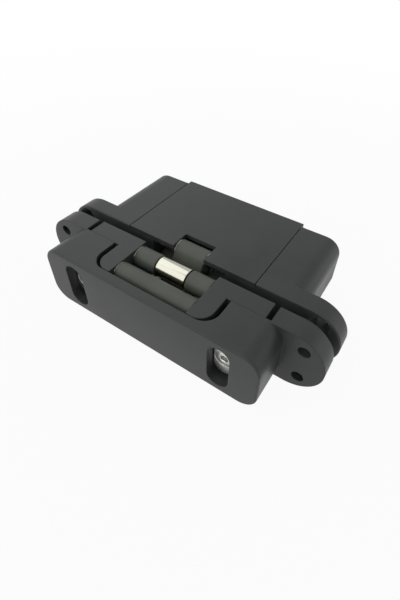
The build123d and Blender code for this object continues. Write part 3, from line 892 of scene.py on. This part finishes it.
@dataclass
class SubAssembly:
    """A group of solids with one finish each, and the finer pieces that replace some of them."""

    frame: Frame
    palette: Palette

    def finishes(self) -> dict[str, bpy.types.Material]:
        """Finish of each solid."""
        return {}

    def pieces(self) -> None:
        """Build the finer pieces."""

    def build(self) -> None:
        """Dress the solids and build the pieces."""
        LOG.info("sub-assembly %s", type(self).__name__)
        for node, finish in self.finishes().items():
            dress(self.frame, node, finish)
        self.pieces()


@dataclass
class FrameLeaf(SubAssembly):
    """Housing of the frame leaf, with its clamp screws."""

    screw_x: float = 36.8 * MM
    screw_face: float = -23.1 * MM
    stops: Pair = (12.0, 20.0)
    screw: SocketScrew = SocketScrew(Head.CYLINDER, head=3.9 * MM, head_depth=1.3 * MM, socket=1.75 * MM,
                                     socket_depth=2.4 * MM, shank=2.9 * MM, length=22.0 * MM,
                                     thread_start=8.0 * MM, pitch=1.0 * MM)

    def finishes(self) -> dict[str, bpy.types.Material]:
        """Finish of each solid."""
        p = self.palette
        return {"frame_housing": p.charcoal, "clamp_slides": p.zinc, "clamp_nuts": p.zinc,
                "clamp_screws": p.zinc}

    def pieces(self) -> None:
        """Build the clamp screws, with rounded heads and sharp sockets."""
        places = zip((-self.screw_x, self.screw_x), self.stops)
        shells = [self.screw.surface(x, 0.0, self.screw_face, 1.0, stop) for x, stop in places]
        piece_from("clamp_screw_pair", shells, self.palette.zinc, "clamp", ["clamp_screws"])


@dataclass
class CarrierBlock(SubAssembly):
    """Carrier with the pins of the near barrel and the long barrel."""

    near_y: float = -4.6 * MM
    axis_z: float = 9.9 * MM
    sleeve_half: float = 7.4 * MM
    sleeve_radius: float = 4.8 * MM
    bore: float = 2.35 * MM
    corner: float = 0.2 * MM

    def finishes(self) -> dict[str, bpy.types.Material]:
        """Finish of each solid."""
        p = self.palette
        return {"carrier": p.charcoal, "near_pin": p.ground, "link_pivot_pin": p.ground,
                "ear_washers": p.washer, "spacer_sleeve": p.chrome}

    def pieces(self) -> None:
        """Build the polished sleeve, with rolled edges."""
        outline = rounded_loop(-self.sleeve_half, self.sleeve_half, self.bore, self.sleeve_radius,
                               self.corner)
        shell = turned(outline, Way.ALONG_X, (0.0, self.near_y, self.axis_z), closed=True)
        piece_from("polished_sleeve", [shell], self.palette.chrome, "carrier_block",
                   ["spacer_sleeve"])


@dataclass
class CrossingArms(SubAssembly):
    """Outer arms, inner arm and link, with their pins, bushes and washers."""

    def finishes(self) -> dict[str, bpy.types.Material]:
        """Finish of each solid."""
        p = self.palette
        steel = {pin: p.ground for pin in ("centre_pin", "door_pin", "link_end_pin", "crosshead_pin")}
        coated = {arm: p.arm_coat for arm in ("outer_arm_left", "outer_arm_right", "inner_arm", "link")}
        washers = {pair: p.washer for pair in ("centre_washers", "door_washers")}
        return {**steel, **coated, **washers, "arm_bushes": p.bronze}


@dataclass
class DoorLeaf(SubAssembly):
    """Deep leaf with its cover and its speed screws."""

    cover_face: float = 53.7 * MM
    cover_x: float = 27.0 * MM
    cover_z: float = 9.0 * MM
    stop_step: float = 17.0
    screw: SocketScrew = SocketScrew(Head.CONE, head=2.55 * MM, socket=1.05 * MM, socket_depth=0.9 * MM,
                                     shank=1.5 * MM, length=10.5 * MM, thread_start=2.6 * MM, pitch=0.5 * MM)

    def finishes(self) -> dict[str, bpy.types.Material]:
        """Finish of each solid."""
        p = self.palette
        return {"door_body": p.charcoal, "door_cover": p.charcoal, "cover_screws": p.zinc,
                "closing_speed_screw": p.brass, "latching_speed_screw": p.brass,
                "speed_screw_seals": p.rubber}

    def pieces(self) -> None:
        """Build the countersunk screws in the rear wall of the cover, each stopped at its own angle."""
        places = [(x, z) for x in (-self.cover_x, self.cover_x) for z in (-self.cover_z, self.cover_z)]
        shells = [self.screw.surface(x, z, self.cover_face, -1.0, self.stop_step * k)
                  for k, (x, z) in enumerate(places)]
        piece_from("cover_screw_set", shells, self.palette.zinc, "door_leaf", ["cover_screws"])


@dataclass
class Closer(SubAssembly):
    """Piston, spring and seals of the hydraulic closer."""

    gland_end: float = 30.2 * MM
    floor: float = 46.0 * MM
    end_clear: float = 0.05 * MM
    spring_radius: float = 6.6 * MM
    wire: float = 0.7 * MM
    turns: float = 3.0
    shut_length: float = 4.35 * MM
    ball_x: float = 5.2 * MM
    ball_y: float = 47.31 * MM
    ball_radius: float = 0.98 * MM

    def finishes(self) -> dict[str, bpy.types.Material]:
        """Finish of each solid."""
        p = self.palette
        seals = {seal: p.rubber for seal in ("piston_seal", "rod_seal", "cap_seal")}
        return {**seals, "crosshead": p.milled, "piston_rod": p.rod_steel, "piston": p.rod_steel,
                "check_balls": p.ground, "gland": p.brass, "closing_spring": p.spring_steel,
                "cylinder_cap": p.ground}

    def pieces(self) -> None:
        """Build the spring, on a mesh of its own, and the check balls."""
        shell = coil(self.gland_end + self.end_clear, self.floor - self.end_clear, self.spring_radius,
                     self.wire, self.turns)
        spring = piece_from("closing_coil", [shell], self.palette.spring_steel, "door_leaf",
                            ["closing_spring"])
        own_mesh(spring)
        balls = [ball((x, self.ball_y, 0.0), self.ball_radius) for x in (-self.ball_x, self.ball_x)]
        piece_from("check_ball_pair", balls, self.palette.ground, "piston_group", ["check_balls"])


# Studio


@dataclass(frozen=True)
class Camera:
    """Camera fitted to the photograph: its place, its turn in degrees, and its lens and sensor in mm."""

    place: Place = (0.077606, -0.097681, 0.128070)
    turn: tuple[float, float, float] = (48.6813, -2.4117, 32.2851)
    lens: float = 15.7388
    sensor_height: float = 24.0
    shift: Pair = (-0.04029, -0.07927)
    clip_start: float = 0.005

    def build(self) -> None:
        """Make the camera and make it the scene's own."""
        data = bpy.data.cameras.new("photo_camera")
        data.sensor_fit = "VERTICAL"
        data.sensor_height = self.sensor_height
        data.lens = self.lens
        data.shift_x, data.shift_y = self.shift
        data.clip_start = self.clip_start
        camera = bpy.data.objects.new("photo_camera", data)
        camera.location = self.place
        camera.rotation_euler = Euler(np.radians(self.turn), "XYZ")
        bpy.context.scene.collection.objects.link(camera)
        bpy.context.scene.camera = camera


@dataclass(frozen=True)
class Softbox:
    """Square area lamp that faces the hinge."""

    name: str
    place: Place
    side: float
    watts: float

    def build(self, target: Vector) -> None:
        """Make the lamp.

        Args:
            target: Point that it faces.
        """
        data = bpy.data.lights.new(self.name, "AREA")
        data.size = self.side
        data.energy = self.watts
        lamp = bpy.data.objects.new(self.name, data)
        lamp.location = self.place
        lamp.rotation_euler = (target - Vector(self.place)).to_track_quat("-Z", "Y").to_euler()
        bpy.context.scene.collection.objects.link(lamp)


@dataclass(frozen=True)
class Studio:
    """Pale floor, white surroundings and soft lamps.

    The floor's glow is its share of plain white near the hinge and far from it, and its fade is the two
    distances between which that share changes. The sky is the strength of the surroundings, first as light
    on the hinge and then as what the camera and mirrors see.
    """

    floor_level: float
    floor_half: float = 1.5
    floor_colour: RGB = (0.86, 0.86, 0.86)
    floor_roughness: float = 0.9
    floor_gloss: float = 0.1
    floor_glow: Pair = (0.94, 1.0)
    floor_fade: Pair = (0.08, 0.5)
    sky: Pair = (0.22, 1.0)
    middle: Place = (0.0, 0.015, 0.0)
    lamps: tuple[Softbox, ...] = (
        Softbox("front_softbox", (-0.45, -0.80, 0.62), 1.4, 5.8),
        Softbox("left_softbox", (-0.26, 0.12, 0.42), 0.4, 0.5),
        Softbox("rear_right_softbox", (0.60, 0.42, 0.16), 0.4, 0.4),
    )

    def build_world(self) -> None:
        """Make surroundings that look white and light the hinge plainly."""
        world = bpy.data.worlds.new("white_room")
        world.use_nodes = True
        tree = world.node_tree
        glow = tree.nodes["Background"]
        glow.inputs["Color"].default_value = (1.0, 1.0, 1.0, 1.0)
        level = tree.nodes.new("ShaderNodeMapRange")
        level.inputs["To Min"].default_value, level.inputs["To Max"].default_value = self.sky
        tree.links.new(seen_directly(tree), level.inputs["Value"])
        tree.links.new(level.outputs["Result"], glow.inputs["Strength"])
        bpy.context.scene.world = world

    def floor_finish(self) -> bpy.types.Material:
        """Make the floor's material: a soft shadow round the hinge, which fades to plain white with distance.

        Returns:
            The material.
        """
        s = Shader("pale_floor")
        s.fix("Base Color", (*self.floor_colour, 1.0))
        s.fix("Roughness", self.floor_roughness)
        s.fix("Specular IOR Level", self.floor_gloss)
        glow = s.node("ShaderNodeEmission", Strength=1.0)
        away = s.node("ShaderNodeVectorMath")
        away.operation = "LENGTH"
        s.join(s.place, away.inputs[0])
        white = s.span(away.outputs["Value"], self.floor_fade, self.floor_glow)
        mixed = s.node("ShaderNodeMixShader")
        s.join(worked_out(s.tree, "MULTIPLY", seen_directly(s.tree), white), mixed.inputs[0])
        s.join(s.surface.outputs[0], mixed.inputs[1])
        s.join(glow.outputs[0], mixed.inputs[2])
        s.join(mixed.outputs[0], s.out.inputs["Surface"])
        return s.material

    def build_floor(self) -> None:
        """Make the floor under the hinge."""
        corners = np.array([(-1, -1), (1, -1), (1, 1), (-1, 1)], float) * self.floor_half
        mesh = bpy.data.meshes.new("floor")
        mesh.from_pydata([(x, y, self.floor_level) for x, y in corners], [], [(0, 1, 2, 3)])
        mesh.materials.append(self.floor_finish())
        floor = bpy.data.objects.new("floor", mesh)
        bpy.context.scene.collection.objects.link(floor)
        floor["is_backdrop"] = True

    def build(self) -> None:
        """Make the surroundings, the floor and the lamps, and choose the plain view transform."""
        bpy.context.scene.view_settings.view_transform = "Standard"
        self.build_world()
        self.build_floor()
        for lamp in self.lamps:
            lamp.build(Vector(self.middle))


def main() -> None:
    """Dress the hinge, build its finer pieces and set the studio."""
    logging.basicConfig(level=logging.INFO, format="%(name)s: %(message)s")
    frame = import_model()
    cad_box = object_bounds()
    palette = Palette.mixed()
    for group in (FrameLeaf, CarrierBlock, CrossingArms, DoorLeaf, Closer):
        group(frame, palette).build()
    Studio(floor_level=float(cad_box[0][2])).build()
    Camera().build()


if __name__ == "__main__":
    main()
